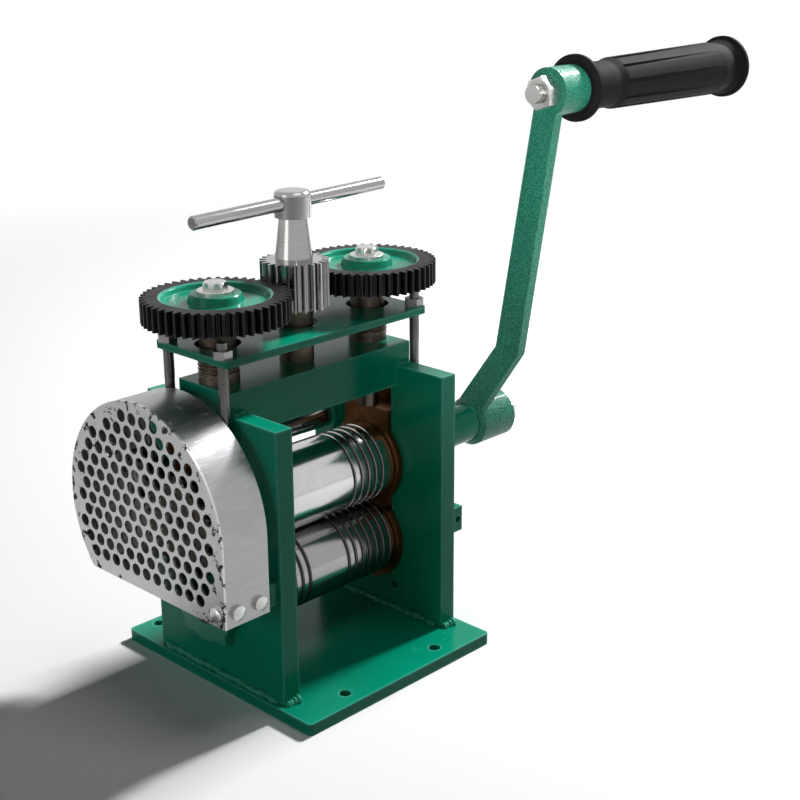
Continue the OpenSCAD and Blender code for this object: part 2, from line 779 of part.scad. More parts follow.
// Flat arm with an outward bend, a taper and a long eye
module crank_arm() color("darkgreen") leaning() difference() {
    union() {
        intersection() {
            translate([0, arm_foot_w, 0]) rotate([90, 0, 0]) linear_extrude(2 * arm_foot_w)
                polygon([for (p = arm_side(-1)) p, for (i = [3 : -1 : 0]) arm_side(1)[i]]);
            along_x(arm_x - arm_t, arm_step + 2 * arm_t)
                polygon([[-arm_foot_w / 2, 0], [arm_foot_w / 2, 0],
                    [arm_top_w / 2, crank_throw], [-arm_top_w / 2, crank_throw]]);
        }
        bar_x(eye_x, eye_len, eye_d, 0, crank_throw);
    }
    bar_x(hub_x - over, hub_len + 2 * over, hub_d, 0, 0);
    bar_x(eye_x - over, eye_len + 2 * over, grip_bolt_d, 0, crank_throw);
}

module crank_nut() color("silver") translate([0, 0, upper_axis_z]) difference() {
    union() {
        bar_x(hub_out, crank_washer_h, 2 * crank_washer_r, 0, 0);
        translate([hub_out + crank_washer_h, 0, 0]) rotate([0, 90, 0])
            hex_head(crank_nut_af, crank_nut_h);
    }
    bar_x(hub_out - over, crank_washer_h + crank_nut_h + 2 * over, crank_tip_d, 0, 0);
}

// Bolt through the grip and the eye, with its head at the outer end
module grip_bolt() color("silver") leaning() translate([0, 0, crank_throw]) {
    bar_x(eye_x - grip_nut_h - grip_tip, grip_out + face_play - eye_x + grip_nut_h + grip_tip,
        grip_bolt_d, 0, 0);
    bar_x(grip_out + face_play, grip_washer_h, 2 * grip_washer_r, 0, 0);
    translate([grip_out + face_play + grip_washer_h, 0, 0]) rotate([0, 90, 0])
        hex_head(grip_head_af, grip_head_h);
}

module grip_nut() color("silver") leaning() translate([eye_x, 0, crank_throw])
    rotate([0, -90, 0]) difference() {
        hex_head(grip_head_af, grip_nut_h);
        translate([0, 0, -over])
            cylinder(d = grip_bolt_d, h = grip_nut_h + 2 * over, $fn = small_fn);
    }

// Grip with a rounded flange at each end and long pads between narrow grooves
module grip() color("black") leaning() difference() {
    turned_x(crank_throw) polygon([
        [grip_bolt_d / 2 + fit_play, grip_x], [grip_flange_r - 2 * grip_flange_round, grip_x],
        [grip_flange_r, grip_x + grip_flange_round],
        [grip_flange_r, grip_x + grip_flange_t - grip_flange_round],
        [grip_flange_r - grip_flange_foot, grip_x + grip_flange_t],
        [grip_neck_r, grip_x + 2 * grip_flange_t],
        [grip_neck_r, pads_x - grip_flange_t],
        [grip_neck_r + grip_pad_depth, pads_x],
        [grip_d / 2, pads_x + pads_len],
        [grip_d / 2 - grip_pad_depth, grip_out - 2 * grip_flange_t],
        [grip_flange_r - grip_flange_foot, grip_out - grip_flange_t],
        [grip_flange_r, grip_out - grip_flange_t + grip_flange_round],
        [grip_flange_r, grip_out - grip_flange_round],
        [grip_flange_r - 2 * grip_flange_round, grip_out], [grip_bolt_d / 2 + fit_play, grip_out]]);
    for (i = [0 : grip_pads - 1]) translate([pads_x, 0, crank_throw])
        rotate([i * 360 / grip_pads, 0, 0])
            rotate([0, atan((grip_neck_r - grip_d / 2) / pads_len), 0])
            translate([0, -grip_pad_gap / 2, grip_neck_r])
                cube([pads_len, grip_pad_gap, grip_d]);
}

base_plate();
left_side_plate();
right_side_plate();
top_beam();
centre_post();
lower_left_block();
lower_right_block();
shaft_boss();
guard_lug();
cover_bracket();
gear_cover();
cover_grille();
cover_screws();
lifting_plate();
lifting_studs();
stud_nuts();
upper_left_block();
upper_right_block();
left_screw();
left_collar();
left_wheel_rim();
left_wheel_web();
left_wheel_bolt();
right_screw();
right_collar();
right_wheel_rim();
right_wheel_web();
right_wheel_bolt();
screw_pinion();
handle_spindle();
tee_bar();
upper_roller();
upper_coupling_gear();
reduction_gear();
crank_sleeve();
crank_hub();
crank_arm();
crank_nut();
grip_bolt();
grip_nut();
grip();
lower_roller();
lower_coupling_gear();
back_shaft();
drive_pinion();
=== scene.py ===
import json
import math
import bmesh
import bpy
import numpy as np
from mathutils import Matrix, Vector


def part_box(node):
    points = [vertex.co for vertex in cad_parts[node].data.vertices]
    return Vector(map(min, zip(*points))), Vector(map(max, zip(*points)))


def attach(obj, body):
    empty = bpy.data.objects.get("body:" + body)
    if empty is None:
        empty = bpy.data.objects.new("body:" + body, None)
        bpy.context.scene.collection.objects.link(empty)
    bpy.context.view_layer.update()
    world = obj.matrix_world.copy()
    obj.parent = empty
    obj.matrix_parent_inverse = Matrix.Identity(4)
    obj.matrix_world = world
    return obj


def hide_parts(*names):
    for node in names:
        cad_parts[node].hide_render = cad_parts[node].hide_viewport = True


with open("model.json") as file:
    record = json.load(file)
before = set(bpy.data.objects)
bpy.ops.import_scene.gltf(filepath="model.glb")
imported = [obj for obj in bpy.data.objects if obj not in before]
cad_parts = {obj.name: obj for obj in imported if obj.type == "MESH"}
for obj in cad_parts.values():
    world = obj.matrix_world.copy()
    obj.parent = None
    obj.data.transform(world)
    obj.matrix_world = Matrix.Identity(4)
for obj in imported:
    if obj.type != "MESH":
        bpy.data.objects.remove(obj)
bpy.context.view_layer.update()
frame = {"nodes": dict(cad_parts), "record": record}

# Looks of a hand cranked rolling mill: paint, steel, bronze, rubber, welds and threads.
# Lengths are in metres, X along the rollers, Y to the back, Z up.

mm = 0.001
print("frame loaded")


class Sock:
    # wraps an output socket, so that node values can be added and multiplied like numbers
    def __init__(self, tree, link=None):
        self.tree, self.link = tree, link

    def make(self, kind, settings=None, sockets=None, output=0):
        # adds a node: its settings come first, then the values or links of its sockets
        new = self.tree.nodes.new(kind)
        for key, value in (settings or {}).items():
            setattr(new, key, value)
        setSockets(self.tree, new, sockets or {})
        return Sock(self.tree, new.outputs[output])

    def math(self, operation, first, second):
        return self.make("ShaderNodeMath", {"operation": operation}, {0: first, 1: second})

    def __add__(self, other): return self.math("ADD", self, other)

    def __radd__(self, other): return self.math("ADD", other, self)

    def __sub__(self, other): return self.math("SUBTRACT", self, other)

    def __rsub__(self, other): return self.math("SUBTRACT", other, self)

    def __mul__(self, other): return self.math("MULTIPLY", self, other)

    def __rmul__(self, other): return self.math("MULTIPLY", other, self)

    def __lt__(self, other): return self.math("LESS_THAN", self, other)


def setSockets(tree, node, values):
    # links a wrapped socket to an input, or sets the input to a number or colour
    for key, value in values.items():
        if isinstance(value, Sock):
            tree.links.new(value.link, node.inputs[key])
        else:
            node.inputs[key].default_value = value


def newMaterial(name):
    # empty node tree with a Principled shader on its output
    material = bpy.data.materials.new(name)
    material.use_nodes = True
    tree = material.node_tree
    tree.nodes.clear()
    shader = tree.nodes.new("ShaderNodeBsdfPrincipled")
    output = tree.nodes.new("ShaderNodeOutputMaterial")
    tree.links.new(shader.outputs[0], output.inputs["Surface"])
    return material, Sock(tree), shader


def placed(nodes, stretch=(1, 1, 1)):
    # Object coordinates, stretched for brushed and turned finishes
    spot = nodes.make("ShaderNodeTexCoord", output="Object")
    return nodes.make("ShaderNodeMapping", {}, {"Vector": spot, "Scale": stretch})


def noise(nodes, spot, scale, detail=2.0, roughness=0.5):
    return nodes.make("ShaderNodeTexNoise", {}, {"Vector": spot, "Scale": scale, "Detail": detail,
                                                 "Roughness": roughness})


def mixed(nodes, amount, first, second):
    # blends two colours by a value; the colours are the node's sockets 6 and 7, and its output 2
    sockets = {"Factor": amount}
    sockets[6] = first if isinstance(first, Sock) else (*first, 1)
    sockets[7] = second if isinstance(second, Sock) else (*second, 1)
    return nodes.make("ShaderNodeMix", {"data_type": "RGBA"}, sockets, 2)


def ramp(nodes, value, low, high):
    # straightens a value between two limits to 0 and 1
    return nodes.make("ShaderNodeMapRange", {"clamp": True}, {"Value": value, "From Min": low,
                                                              "From Max": high})


# how edges are lightened, as wear and as a painted highlight: samples of the softened normal,
# the share that is lightened everywhere, the limits between which it grows, and the grain that
# breaks it up
edges = {"samples": 4, "even": 0.4, "from": 0.04, "to": 0.17, "detail": 3, "grain": 0.7}


def softNormal(nodes, radius):
    # the normal as if sharp edges were rounded by a radius
    return nodes.make("ShaderNodeBevel", {"samples": edges["samples"]}, {"Radius": radius})


def bumped(nodes, height, distance, edge=0):
    # bump from a height; edge is the radius that sharp edges are softened to
    sockets = {"Height": height, "Distance": distance, "Strength": 1.0}
    if edge:
        sockets["Normal"] = softNormal(nodes, edge)
    return nodes.make("ShaderNodeBump", {}, sockets)


def edgeWearAndHighlightMask(nodes, radius, grain):
    # 1 along sharp edges, where the tone is lightened as wear and as a painted highlight: there
    # the normal that is softened over a radius leaves the true one
    soft = softNormal(nodes, radius)
    true = nodes.make("ShaderNodeNewGeometry", output="Normal")
    along = nodes.make("ShaderNodeVectorMath", {"operation": "DOT_PRODUCT"}, {0: soft, 1: true},
                       "Value")
    return ramp(nodes, (1 - along) * (edges["even"] + grain), edges["from"], edges["to"])


def rubbedAndHighlitPaint(nodes, spot, look, tone):
    # paint that is lighter along its edges, as wear and as a painted highlight, broken up by a
    # grain
    grain = noise(nodes, spot, look["edgeScale"], edges["detail"], edges["grain"])
    wornAndHighlit = edgeWearAndHighlightMask(nodes, look["edgeWidth"], grain)
    return mixed(nodes, wornAndHighlit * look["edgeMix"], tone, look["edgeWearAndHighlightTone"])


green = {"deep": (0.0005, 0.24, 0.138), "light": (0.0014, 0.33, 0.2), "worn": (0.02, 0.44, 0.3),
         "cloudScale": 18, "cloudDetail": 3, "cloudRough": 0.05,
         "peelScale": 620, "peelDetail": 2, "peelGrain": 0.55, "peelHeight": 0.00006,
         "markScale": 55, "markStretch": (1, 1, 0.25), "markDetail": 5, "markGrain": 0.7,
         "markFrom": 0.62, "markTo": 0.72, "markMix": 0.35, "markRough": 0.16, "markCoat": 0.1,
         "rough": 0.2, "coat": 0.05, "coatRough": 0.08, "gloss": 0.1, "edge": 0.0004,
         "edgeWearAndHighlightTone": (0.12, 0.56, 0.45), "edgeWidth": 0.0019, "edgeScale": 260, "edgeMix": 0.85}


def paint(name, look):
    # gloss enamel with orange peel, faint clouds of tone and small dull marks
    material, nodes, shader = newMaterial(name)
    spot = placed(nodes)
    clouds = noise(nodes, spot, look["cloudScale"], look["cloudDetail"])
    peel = noise(nodes, spot, look["peelScale"], look["peelDetail"], look["peelGrain"])
    streaks = noise(nodes, placed(nodes, look["markStretch"]), look["markScale"],
                    look["markDetail"], look["markGrain"])
    marks = ramp(nodes, streaks, look["markFrom"], look["markTo"])
    tone = mixed(nodes, clouds, look["deep"], look["light"])
    # edges lighter, as wear and as a painted highlight
    tone = rubbedAndHighlitPaint(nodes, spot, look, tone)
    setSockets(nodes.tree, shader, {
        "Base Color": mixed(nodes, marks * look["markMix"], tone, look["worn"]),
        "Roughness": look["rough"] + marks * look["markRough"] + clouds * look["cloudRough"],
        "Coat Weight": look["coat"] - marks * look["markCoat"],
        "Coat Roughness": look["coatRough"], "Specular IOR Level": look["gloss"],
        "Normal": bumped(nodes, peel, look["peelHeight"], look["edge"])})
    return material


hammer = {"deep": (0.006, 0.17, 0.1), "light": (0.05, 0.36, 0.25), "cellScale": 1400,
          "cellSmooth": 0.6, "cellFrom": 0.15, "cellTo": 0.75, "bend": 0.0008, "bendScale": 840,
          "grainScale": 3500, "grainDetail": 2, "grainMix": 0.7, "toneFrom": 0.5, "toneTo": 0.95,
          "rough": 0.32, "rimRough": 0.1, "coat": 0.06, "coatRough": 0.12, "gloss": 0.22,
          "height": 0.0002, "edge": 0.0005, "edgeWearAndHighlightTone": (0.12, 0.45, 0.36), "edgeWidth": 0.001,
          "edgeScale": 260, "edgeMix": 0.5}


def hammered(name, look):
    # enamel that dried in small raised cells, with a painted highlight on their tops and painted
    # shade towards their rims
    material, nodes, shader = newMaterial(name)
    spot = placed(nodes)
    swirl = nodes.make("ShaderNodeTexNoise", {}, {"Vector": spot, "Scale": look["bendScale"]},
                       "Color")
    bent = nodes.make("ShaderNodeVectorMath", {"operation": "MULTIPLY_ADD"}, {
        0: swirl, 1: (look["bend"],) * 3, 2: spot})
    cells = nodes.make("ShaderNodeTexVoronoi", {"feature": "SMOOTH_F1"}, {
        "Vector": bent, "Scale": look["cellScale"], "Smoothness": look["cellSmooth"]}, "Distance")
    away = ramp(nodes, cells, look["cellFrom"], look["cellTo"])  # 0 on a cell's top, 1 at its rim
    grain = noise(nodes, spot, look["grainScale"], look["grainDetail"])
    # painted shade grows from a cell's top to its rim, broken up by a grain
    dark = ramp(nodes, away + grain * look["grainMix"], look["toneFrom"], look["toneTo"])
    tone = mixed(nodes, dark, look["light"], look["deep"])
    # edges lighter, as wear and as a painted highlight
    tone = rubbedAndHighlitPaint(nodes, spot, look, tone)
    setSockets(nodes.tree, shader, {
        "Base Color": tone, "Roughness": look["rough"] + away * look["rimRough"],
        "Coat Weight": look["coat"], "Coat Roughness": look["coatRough"],
        "Specular IOR Level": look["gloss"],
        "Normal": bumped(nodes, 1 - away, look["height"], look["edge"])})
    return material


# the rollers are darkened inside their grooves
grooves = {"below": True, "from": 16.45 * mm, "to": 16.8 * mm, "ragged": 0.0001,
           "speckScale": 400, "tone": (0.03, 0.028, 0.026), "rough": 0.3}
darkenings = {
    "upper_roller": {"middle": (0, 72.6 * mm), **grooves},
    "lower_roller": {"middle": (0, 37.4 * mm), **grooves},
    "cover_grille": {"middle": (5.6 * mm, 78 * mm), "below": False, "from": 34 * mm,
                     "to": 44 * mm, "near": 0.12, "speckFrom": 0.69, "speckTo": 0.72,
                     "speckScale": 240, "tone": (0.03, 0.03, 0.032), "rough": 0.3}}


def ringPlace(nodes, middle):
    # distance from an axis along X through a point, in object coordinates
    spot = nodes.make("ShaderNodeTexCoord", output="Object")
    flat = nodes.make("ShaderNodeVectorMath", {"operation": "MULTIPLY_ADD"}, {
        0: spot, 1: (0, 1, 1), 2: (0, -middle[0], -middle[1])})
    return spot, nodes.make("ShaderNodeVectorMath", {"operation": "LENGTH"}, {0: flat}, "Value")


def darkeningMask(nodes, darkening):
    # where the tone is darkened: inside a barrel's grooves, below its surface, and in specks near
    # a rim
    spot, ring = ringPlace(nodes, darkening["middle"])
    ragged = noise(nodes, spot, darkening["speckScale"], detail=3, roughness=0.7)
    if darkening["below"]:
        return 1 - ramp(nodes, ring + ragged * darkening["ragged"], darkening["from"], darkening["to"])
    near = ramp(nodes, ring, darkening["from"], darkening["to"])
    return ramp(nodes, ragged + near * darkening["near"], darkening["speckFrom"], darkening["speckTo"])


metals = {
    "bronze": {
        "base": (0.1, 0.042, 0.013), "line": (0.17, 0.07, 0.02), "stain": (0.02, 0.009, 0.004),
        "stretch": (1, 1, 1), "lineScale": 300, "lineMix": 0.5, "lineRough": 0.1,
        "lineHeight": 0.00004, "stainScale": 60, "stainFrom": 0.4, "stainMix": 0.8,
        "stainRough": 0.15, "rough": 0.34, "scratchStretch": (1, 6, 6), "scratchScale": 90,
        "scratchRough": 0.1},
    "dark_steel": {
        "base": (0.075, 0.06, 0.048), "line": (0.15, 0.12, 0.095),
        "stain": (0.025, 0.018, 0.014), "stretch": (0.6, 0.6, 9), "lineScale": 210,
        "lineMix": 0.6, "lineRough": 0.12, "lineHeight": 0.00003, "stainScale": 45,
        "stainFrom": 0.45, "stainMix": 0.7, "stainRough": 0.15, "rough": 0.26,
        "scratchStretch": (1, 1, 8), "scratchScale": 80, "scratchRough": 0.1},
    "turned_steel": {
        "base": (0.3, 0.295, 0.29), "line": (0.5, 0.49, 0.48), "stain": (0.12, 0.115, 0.11),
        "stretch": (0.35, 0.35, 12), "lineScale": 190, "lineMix": 0.4, "lineRough": 0.07,
        "lineHeight": 0.000015, "stainScale": 40, "stainFrom": 0.5, "stainMix": 0.5,
        "stainRough": 0.1, "rough": 0.1, "scratchStretch": (1, 1, 10), "scratchScale": 90,
        "scratchRough": 0.12},
    "polished_steel": {
        "base": (0.34, 0.337, 0.333), "line": (0.46, 0.457, 0.45),
        "stain": (0.14, 0.137, 0.134), "stretch": (14, 0.3, 0.3), "lineScale": 160,
        "lineMix": 0.6, "lineRough": 0.07, "lineHeight": 0.000004, "stainScale": 25,
        "stainFrom": 0.5, "stainMix": 0.35, "stainRough": 0.04, "rough": 0.12,
        "scratchStretch": (16, 1, 1), "scratchScale": 60, "scratchRough": 0.06},
    "satin_sheet": {
        "base": (0.4, 0.405, 0.41), "line": (0.56, 0.565, 0.57), "stain": (0.2, 0.2, 0.21),
        "stretch": (1.2, 1.2, 16), "lineScale": 85, "lineMix": 0.8, "lineRough": 0.16,
        "lineHeight": 0.00002, "stainScale": 30, "stainFrom": 0.52, "stainMix": 0.4,
        "stainRough": 0.12, "rough": 0.24, "scratchStretch": (2, 1, 5), "scratchScale": 120,
        "scratchRough": 0.15},
    "zinc": {
        "base": (0.2, 0.196, 0.19), "line": (0.36, 0.352, 0.345), "stain": (0.09, 0.085, 0.08),
        "stretch": (1, 1, 1), "lineScale": 400, "lineMix": 0.6, "lineRough": 0.14,
        "lineHeight": 0.00002, "stainScale": 120, "stainFrom": 0.5, "stainMix": 0.5,
        "stainRough": 0.15, "rough": 0.22, "scratchStretch": (3, 1, 1), "scratchScale": 160,
        "scratchRough": 0.1},
    "bright_zinc": {
        "base": (0.5, 0.495, 0.485), "line": (0.7, 0.695, 0.68), "stain": (0.2, 0.19, 0.175),
        "stretch": (1, 1, 1), "lineScale": 420, "lineMix": 0.6, "lineRough": 0.14,
        "lineHeight": 0.00003, "stainScale": 150, "stainFrom": 0.5, "stainMix": 0.6,
        "stainRough": 0.15, "rough": 0.2, "scratchStretch": (3, 1, 1), "scratchScale": 160,
        "scratchRough": 0.1},
    "black_teeth": {
        "base": (0.008, 0.008, 0.0084), "line": (0.02, 0.02, 0.02),
        "stain": (0.004, 0.004, 0.004), "stretch": (1, 1, 3), "lineScale": 260, "lineMix": 0.6,
        "lineRough": 0.15, "lineHeight": 0.00004, "stainScale": 70, "stainFrom": 0.45,
        "stainMix": 0.6, "stainRough": 0.1, "rough": 0.42, "scratchStretch": (1, 1, 6),
        # edges of the black teeth lighter, as wear and as a painted highlight
        "scratchScale": 140, "scratchRough": 0.1, "edgeWearAndHighlightTone": (0.16, 0.16, 0.165),
        "edgeWidth": 0.0005, "edgeMix": 0.6}}
wear = {"detail": 4, "grain": 0.6, "stainSpan": 0.25, "scratchDetail": 1, "scratchFrom": 0.68,
        "scratchTo": 0.72, "scratchDepth": 0.6}  # the same on every metal


def metal(name, look, darkening=None, painted=None):
    # bare metal whose lines run across the stretched direction, with stains and scratches;
    # some places are darkened, edges can be lightened as wear and as a painted highlight,
    # and paint covers what lies further left than painted
    material, nodes, shader = newMaterial(name)
    lines = noise(nodes, placed(nodes, look["stretch"]), look["lineScale"], wear["detail"],
                  wear["grain"])
    stains = noise(nodes, placed(nodes), look["stainScale"], wear["detail"], wear["grain"])
    scores = noise(nodes, placed(nodes, look["scratchStretch"]), look["scratchScale"],
                   wear["scratchDetail"])
    scratches = ramp(nodes, scores, wear["scratchFrom"], wear["scratchTo"])
    dirt = ramp(nodes, stains, look["stainFrom"], look["stainFrom"] + wear["stainSpan"])
    tone = mixed(nodes, dirt * look["stainMix"], look["base"], look["stain"])
    tone = mixed(nodes, lines * look["lineMix"], tone, look["line"])
    rough = (look["rough"] + lines * look["lineRough"] + dirt * look["stainRough"]
             + scratches * look["scratchRough"])
    shine = 1.0
    # edges lighter, as wear and as a painted highlight, where a metal has such a tone
    if "edgeWearAndHighlightTone" in look:
        wornAndHighlit = edgeWearAndHighlightMask(nodes, look["edgeWidth"], stains)
        tone = mixed(nodes, wornAndHighlit * look["edgeMix"], tone, look["edgeWearAndHighlightTone"])
    # darker inside the rollers' grooves and in specks near the grille's rim
    if darkening:
        dark = darkeningMask(nodes, darkening)
        tone = mixed(nodes, dark, tone, darkening["tone"])
        rough = rough + dark * darkening["rough"]
    if painted:
        spot = nodes.make("ShaderNodeTexCoord", output="Object")
        out = nodes.make("ShaderNodeSeparateXYZ", {}, {"Vector": spot}, "X") < painted
        tone = mixed(nodes, out, tone, green["deep"])
        shine = 1 - out
    setSockets(nodes.tree, shader, {
        "Metallic": shine, "Base Color": tone, "Roughness": rough,
        "Normal": bumped(nodes, lines + scratches * wear["scratchDepth"], look["lineHeight"])})
    return material


moulded = {"base": (0.008, 0.008, 0.0085), "rough": 0.74, "gloss": 0.09,
           "grainScale": 1400, "grainDetail": 3, "grainRagged": 0.7, "grainHeight": 0.00005,
           "dust": (0.022, 0.022, 0.023), "dustScale": 40, "dustDetail": 4, "dustRagged": 0.6,
           "dustFrom": 0.5, "dustTo": 0.8, "dustMix": 0.5, "dustRough": 0.1}


def rubber(name, look):
    # moulded rubber with a fine grain and a few dusty patches
    material, nodes, shader = newMaterial(name)
    spot = placed(nodes)
    grain = noise(nodes, spot, look["grainScale"], look["grainDetail"], look["grainRagged"])
    patches = noise(nodes, spot, look["dustScale"], look["dustDetail"], look["dustRagged"])
    dust = ramp(nodes, patches, look["dustFrom"], look["dustTo"])
    setSockets(nodes.tree, shader, {
        "Base Color": mixed(nodes, dust * look["dustMix"], look["base"], look["dust"]),
        "Roughness": look["rough"] + dust * look["dustRough"],
        "Specular IOR Level": look["gloss"],
        "Normal": bumped(nodes, grain, look["grainHeight"])})
    return material


finishes = {"green_gloss": paint("greenGloss", green),
            "green_hammer": hammered("greenHammer", hammer),
            "black_rubber": rubber("blackRubber", moulded)}
for metalName, metalLook in metals.items():
    finishes[metalName] = metal(metalName, metalLook)
tintsAndPaintedLight = {  # nodes with a lighter or darker copy of a metal, some as painted light: its name, its base and its lines
    # the upper roller is lightened as a painted highlight, the lower darkened as a painted dark
    # reflection
    "upper_roller": ("polished_steel", (0.52, 0.517, 0.512), (0.66, 0.657, 0.65)),
    "lower_roller": ("polished_steel", (0.27, 0.267, 0.262), (0.38, 0.377, 0.37)),
    # the grille is lightened as a painted reflection, the cover's strip darkened as painted shade
    "cover_grille": ("satin_sheet", (0.46, 0.463, 0.468), (0.62, 0.623, 0.628)),
    "gear_cover": ("satin_sheet", (0.27, 0.273, 0.28), (0.42, 0.425, 0.435)),
    # the studs are made of a darker steel
    "lifting_studs": ("zinc", (0.1, 0.096, 0.092), (0.22, 0.214, 0.208))}
special = {name: metal(name + "Metal", {**metals[kind], "base": base, "line": line},
                       darkenings.get(name))
           for name, (kind, base, line) in tintsAndPaintedLight.items()}
blockPaint = -49.2 * mm  # the lower left block is painted where it stands out of the plate
special["lower_left_block"] = metal("paintedBlock", metals["bronze"], painted=blockPaint)
for brightNode in ("cover_screws", "crank_nut", "grip_bolt", "grip_nut"):
    special[brightNode] = finishes["bright_zinc"]
finishes["stud_steel"] = special["lifting_studs"]  # for the threads on the studs


def dressNodes():
    # gives each CAD node its own finish or that of its slot in the record
    for entry in frame["record"]["subparts"]:
        node = frame["nodes"][entry["node"]]
        node.data.materials.clear()
        node.data.materials.append(special.get(entry["node"], finishes[entry["material_slot"]]))


dressNodes()
print("finishes assigned")

sharpAngle = 40  # degrees from which an edge of a new piece is shaded sharp


def gridPiece(name, points, finish, body):
    # skin over a grid of rows and closed columns, with a middle point as a cap at each end
    rows, columns = points.shape[:2]
    ends = np.array([points[0].mean(axis=0), points[-1].mean(axis=0)])
    row, column = np.meshgrid(np.arange(rows - 1), np.arange(columns), indexing="ij")
    after = (column + 1) % columns
    quads = np.stack([row * columns + column, row * columns + after, (row + 1) * columns + after,
                      (row + 1) * columns + column], axis=-1).reshape(-1, 4)
    ring = np.arange(columns)
    turned = (ring + 1) % columns
    last = (rows - 1) * columns
    caps = np.concatenate([
        np.stack([turned, ring, np.full(columns, rows * columns)], axis=-1),
        np.stack([last + ring, last + turned, np.full(columns, rows * columns + 1)], axis=-1)])
    mesh = bpy.data.meshes.new(name)
    mesh.from_pydata(np.concatenate([points.reshape(-1, 3), ends]), [],
                     quads.tolist() + caps.tolist())
    shape = bmesh.new()
    shape.from_mesh(mesh)
    bmesh.ops.recalc_face_normals(shape, faces=shape.faces)
    shape.to_mesh(mesh)
    shape.free()
    mesh.shade_smooth()
    mesh.set_sharp_from_angle(angle=math.radians(sharpAngle))
    piece = bpy.data.objects.new(name, mesh)
    bpy.context.scene.collection.objects.link(piece)
    mesh.materials.append(finishes[finish])
    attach(piece, body)
    return piece


def across(direction):
    # two unit vectors that are square to a direction and to each other
    direction = np.array(direction, float) / np.linalg.norm(direction)
    helper = np.array([0, 0, 1.0]) if abs(direction[2]) < 0.9 else np.array([1.0, 0, 0])
    first = np.cross(direction, helper)
    first /= np.linalg.norm(first)
    return first, np.cross(direction, first)


def corners(node):
    low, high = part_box(node)
    return np.array(low), np.array(high)


wheelBolt = {"nodeHeight": 6 * mm, "washerRadius": 7.1 * mm, "washerHeight": 1.3 * mm,
             "washerRim": 0.2 * mm, "washerBevel": 0.3 * mm, "width": 8.3 * mm,
             "height": 3.1 * mm, "step": 0.01 * mm, "chamfer": 0.7 * mm, "coneWidth": 1.02,
             "topRim": 0.2 * mm, "topBevel": 0.5 * mm, "columns": 72}


def wheelBoltHead(name, node, body):
    # one profile goes round the axis: a washer's circle, then a hexagon that a cone cuts on top
    look = wheelBolt
    low, high = corners(node)
    middle = (low + high) / 2
    seat = high[2] - look["nodeHeight"]  # washer and head of the CAD bolt stand on the web
    angle = np.linspace(0, 2 * np.pi, look["columns"], endpoint=False)
    flat = look["width"] / 2
    hexagon = flat / np.cos((angle + np.pi / 6) % (np.pi / 3) - np.pi / 6)
    circle = np.ones_like(angle)
    washerTop = look["washerHeight"]
    top = washerTop + look["height"]
    heights = np.array([0, washerTop - look["washerRim"], washerTop, washerTop + look["step"],
                        top - look["chamfer"], top - look["topRim"], top])
    radii = np.stack([circle * look["washerRadius"], circle * look["washerRadius"],
                      circle * (look["washerRadius"] - look["washerBevel"]), hexagon, hexagon,
                      np.minimum(hexagon, flat * look["coneWidth"]),
                      circle * (flat - look["topBevel"])])
    points = np.stack([middle[0] + radii * np.cos(angle), middle[1] + radii * np.sin(angle),
                       seat + heights[:, None] + 0 * radii], axis=-1)
    piece = gridPiece(name, points, "bright_zinc", body)
    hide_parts(node)


coverBack = {"sheet": 1 * mm, "thickness": 0.8 * mm, "from": 27.2 * mm, "play": 1 * mm, "rows": 60}


def makeCoverBack():
    # sheet that closes the cover behind the side plate: between two heights, each row runs from a
    # straight edge, cut round the back shaft by a circle, to the arc of the cover's strip
    low, high = corners("gear_cover")
    shaftLow, shaftHigh = corners("back_shaft")
    shaft = (shaftLow + shaftHigh) / 2
    notch = (shaftHigh[2] - shaftLow[2]) / 2 + coverBack["play"]
    arc = (high[1] - low[1]) / 2
    middleY, middleZ = (low[1] + high[1]) / 2, high[2] - arc
    inside = arc - coverBack["sheet"]
    topRise = math.sqrt(inside ** 2 - (coverBack["from"] - middleY) ** 2)
    height = np.linspace(low[2] + coverBack["sheet"], middleZ + topRise, coverBack["rows"])
    outer = middleY + np.sqrt(np.maximum(inside ** 2 - (height - middleZ) ** 2, 0))
    cut = shaft[1] + np.sqrt(np.maximum(notch ** 2 - (height - shaft[2]) ** 2, 0))
    inner = np.minimum(np.maximum(coverBack["from"], cut), outer)
    near, far = high[0] - coverBack["thickness"] + 0 * height, high[0] + 0 * height
    points = np.stack([np.stack([near, near, far, far], axis=-1),
                       np.stack([inner, outer, outer, inner], axis=-1),
                       np.stack([height] * 4, axis=-1)], axis=-1)
    gridPiece("cover_back", points, "satin_sheet", "frame")


weld = {"radius": 1.5 * mm, "pitch": 1.7 * mm, "columns": 16, "rowsPerPitch": 7, "leastRows": 8,
        "ripple": 0.26, "lag": 0.5, "taper": 1.2, "tip": 0.35,
        "uneven": 0.16, "unevenWaves": (1.7, 0.61), "unevenSeed": 700,
        "wander": 0.35 * mm, "wanderWaves": (0.9, 2.3), "wanderShare": 0.6, "wanderSeed": 900}


